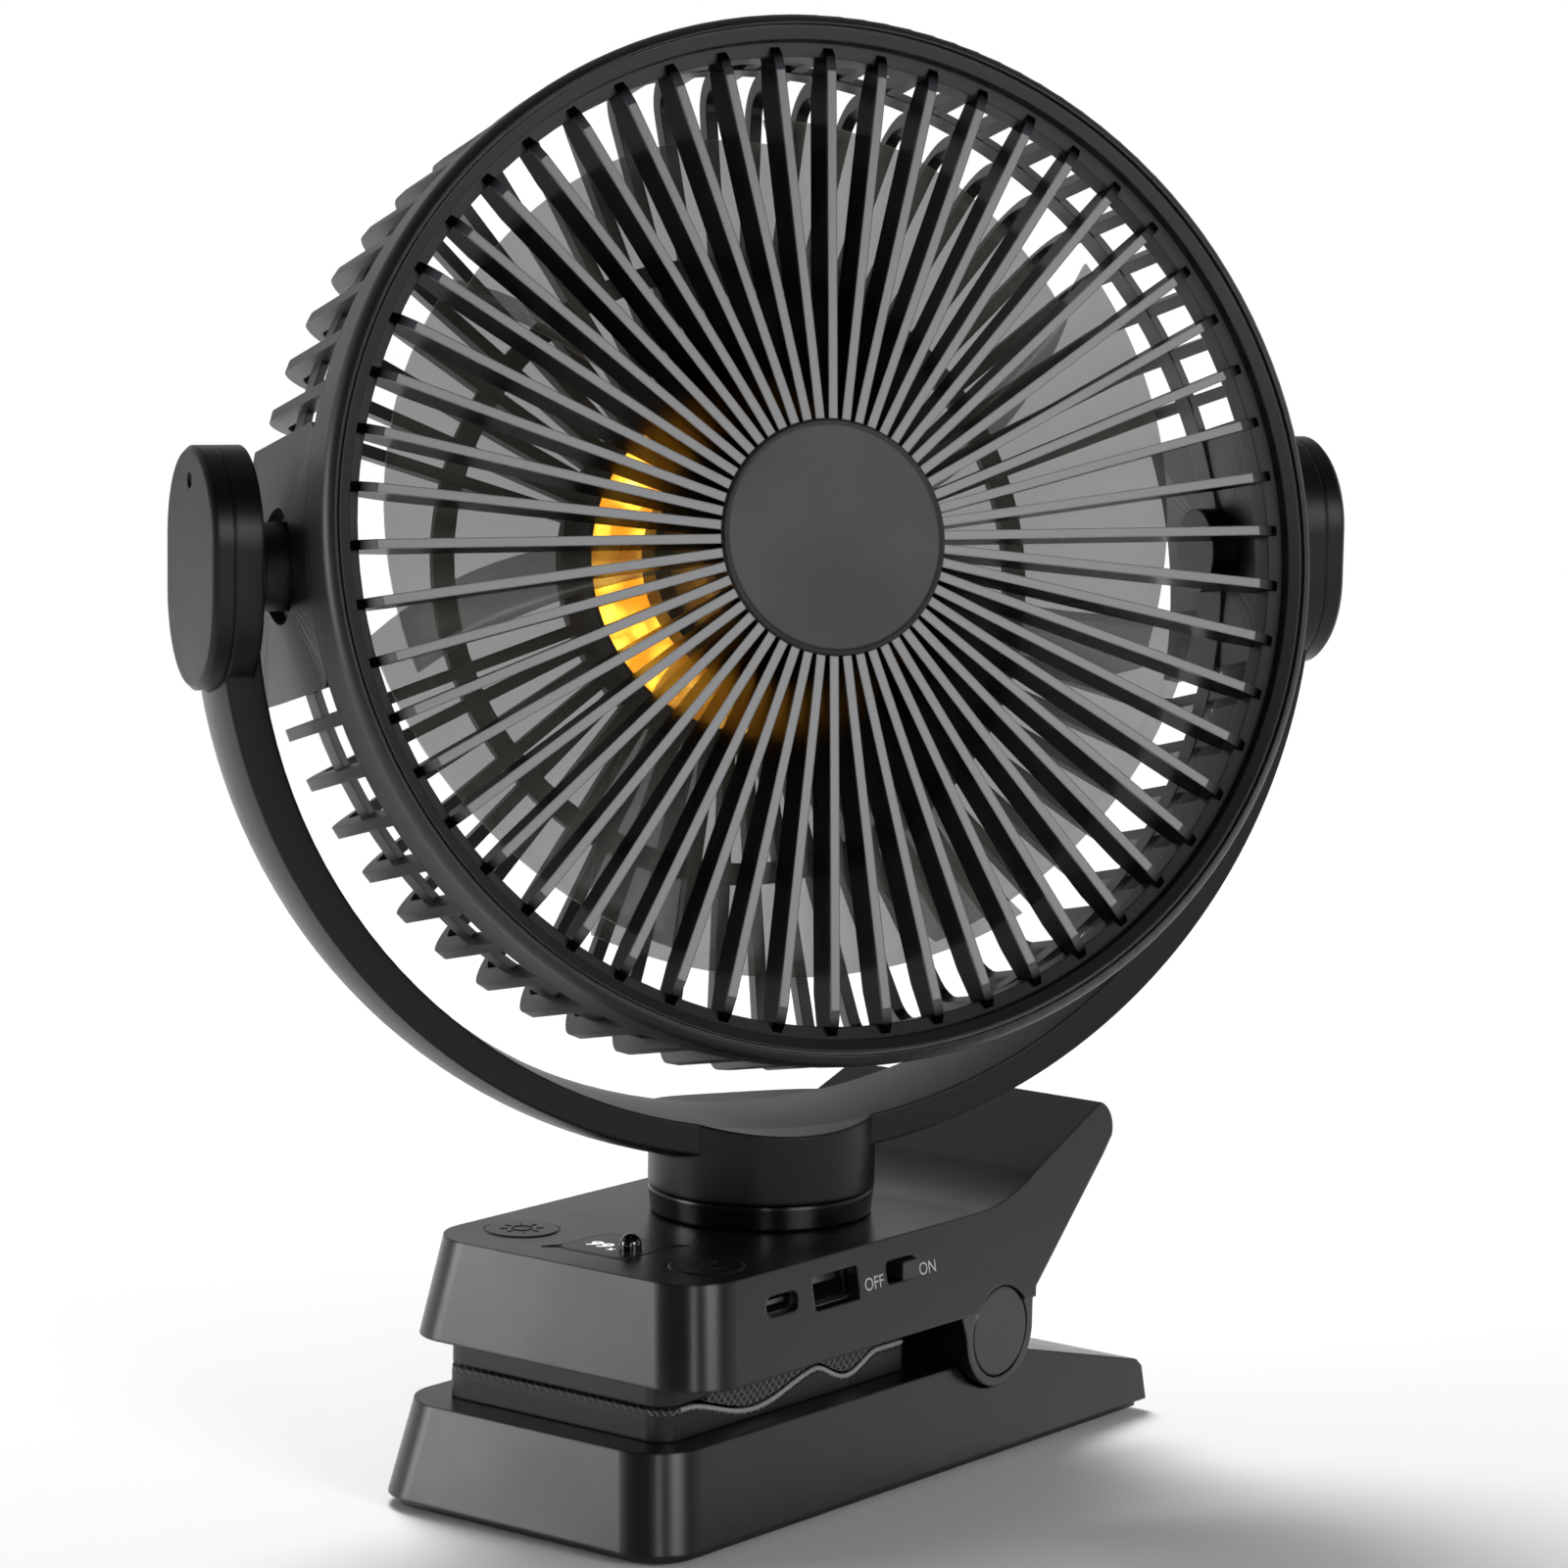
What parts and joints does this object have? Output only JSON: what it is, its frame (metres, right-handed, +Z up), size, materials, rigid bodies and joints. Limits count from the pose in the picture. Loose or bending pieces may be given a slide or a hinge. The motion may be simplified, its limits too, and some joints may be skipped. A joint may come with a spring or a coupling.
{
  "type": "portable camping fan",
  "caption": "Round cage fan on a tilting yoke and swivelling neck, standing on a battery clip base with buttons, display and sockets; lamp ring at the motor.",
  "frame": {"origin": "under the middle of the fan's bounding box, on the surface it stands on, close to the neck's axis", "axes": "+Z up; the base lies along Y with its buttons at the -Y end and its sockets on the +X side"},
  "size_m": [0.1466, 0.2002, 0.2637],
  "materials": {
    "base_plastic": "fine moulded black",
    "pad_plastic": "moulded black",
    "foot_rubber": "soft feet",
    "steel": "plated",
    "pad_rubber": "meshed grey rubber",
    "cell_wrap": "film wrapped cells",
    "board": "white solder resist",
    "socket_metal": "pressed shell",
    "switch_black": "moulded",
    "display_black": "dark window",
    "lens_black": "polished dome",
    "yoke_plastic": "satin moulded black",
    "washer_black": "plain",
    "grille_plastic": "satin moulded black",
    "vane_plastic": "smooth moulded black",
    "cap_plastic": "satin dark grey",
    "motor_black": "moulded",
    "copper": "wound stator",
    "lamp_amber": "lit lamps",
    "diffuser": "clear cover",
    "blade_plastic": "grey moulded"
  },
  "bodies": {
    "clip_base": {"lower_jaw": "base_plastic", "bottom_cover": "base_plastic", "rubber_feet": "foot_rubber", "cover_screws": "steel", "lower_pad_carrier": "pad_plastic", "lower_pad": "pad_rubber", "hinge_pin": "steel", "torsion_spring": "steel"},
    "upper_jaw": {"upper_housing": "base_plastic", "jaw_plate": "pad_plastic", "upper_pad_carrier": "pad_plastic", "upper_pad": "pad_rubber", "battery_pack": "cell_wrap", "control_board": "board", "usb_a_socket": "socket_metal", "usb_c_socket": "socket_metal", "switch_body": "switch_black", "button_switches": "switch_black", "display_window": "display_black", "display_module": "switch_black", "receiver_dome": "lens_black", "hinge_caps": "base_plastic", "neck_ring": "yoke_plastic"},
    "switch_knob": {"switch_slider": "switch_black"},
    "light_key": {"light_button": "base_plastic"},
    "fan_key": {"fan_button": "base_plastic"},
    "swivel_yoke": {"yoke": "yoke_plastic", "knob_left": "yoke_plastic", "knob_right": "yoke_plastic", "pivot_washers": "washer_black", "swivel_post": "washer_black"},
    "fan_head": {"pivot_shafts": "washer_black", "front_rim": "grille_plastic", "front_vanes": "vane_plastic", "hub_cap": "cap_plastic", "rear_cage_side": "grille_plastic", "rear_cage_back": "grille_plastic", "motor_housing": "motor_black", "motor_stator": "copper", "motor_bearings": "steel", "led_board": "board", "led_lamps": "lamp_amber", "led_diffuser": "diffuser"},
    "rotor": {"rotor_shaft": "steel", "impeller": "blade_plastic", "impeller_nut": "blade_plastic"}
  },
  "joints": [
    {"name": "clip_hinge", "type": "hinge", "parent": "clip_base", "child": "upper_jaw", "pos_m": [-0.0041, 0.0285, 0.0246], "axis": [-1, 0, 0], "range_deg": [0, 48], "stiffness_Nm_per_rad": 2, "springref_deg": -28.65},
    {"name": "neck_swivel", "type": "hinge", "parent": "upper_jaw", "child": "swivel_yoke", "pos_m": [-0.0041, 0, 0.0523], "axis": [0, 0, 1], "range_deg": [-233.9, 116.1]},
    {"name": "head_tilt", "type": "hinge", "parent": "swivel_yoke", "child": "fan_head", "pos_m": [-0.0041, 0, 0.167], "axis": [0.5165, 0.8563, 0], "range_deg": [-78.1, 101.9]},
    {"name": "fan_spin", "type": "hinge", "parent": "fan_head", "child": "rotor", "pos_m": [-0.0041, 0, 0.167], "axis": [0.8379, -0.5054, 0.2062], "continuous": true},
    {"name": "light_press", "type": "slide", "parent": "upper_jaw", "child": "light_key", "axis": [0, 0, -1], "range_m": [0, 0.0008], "stiffness_N_per_m": 900, "springref_m": -0.0004},
    {"name": "fan_press", "type": "slide", "parent": "upper_jaw", "child": "fan_key", "axis": [0, 0, -1], "range_m": [0, 0.0008], "stiffness_N_per_m": 900, "springref_m": -0.0004},
    {"name": "power_slide", "type": "slide", "parent": "upper_jaw", "child": "switch_knob", "axis": [0, 1, 0], "range_m": [-0.003, 0]}
  ]
}
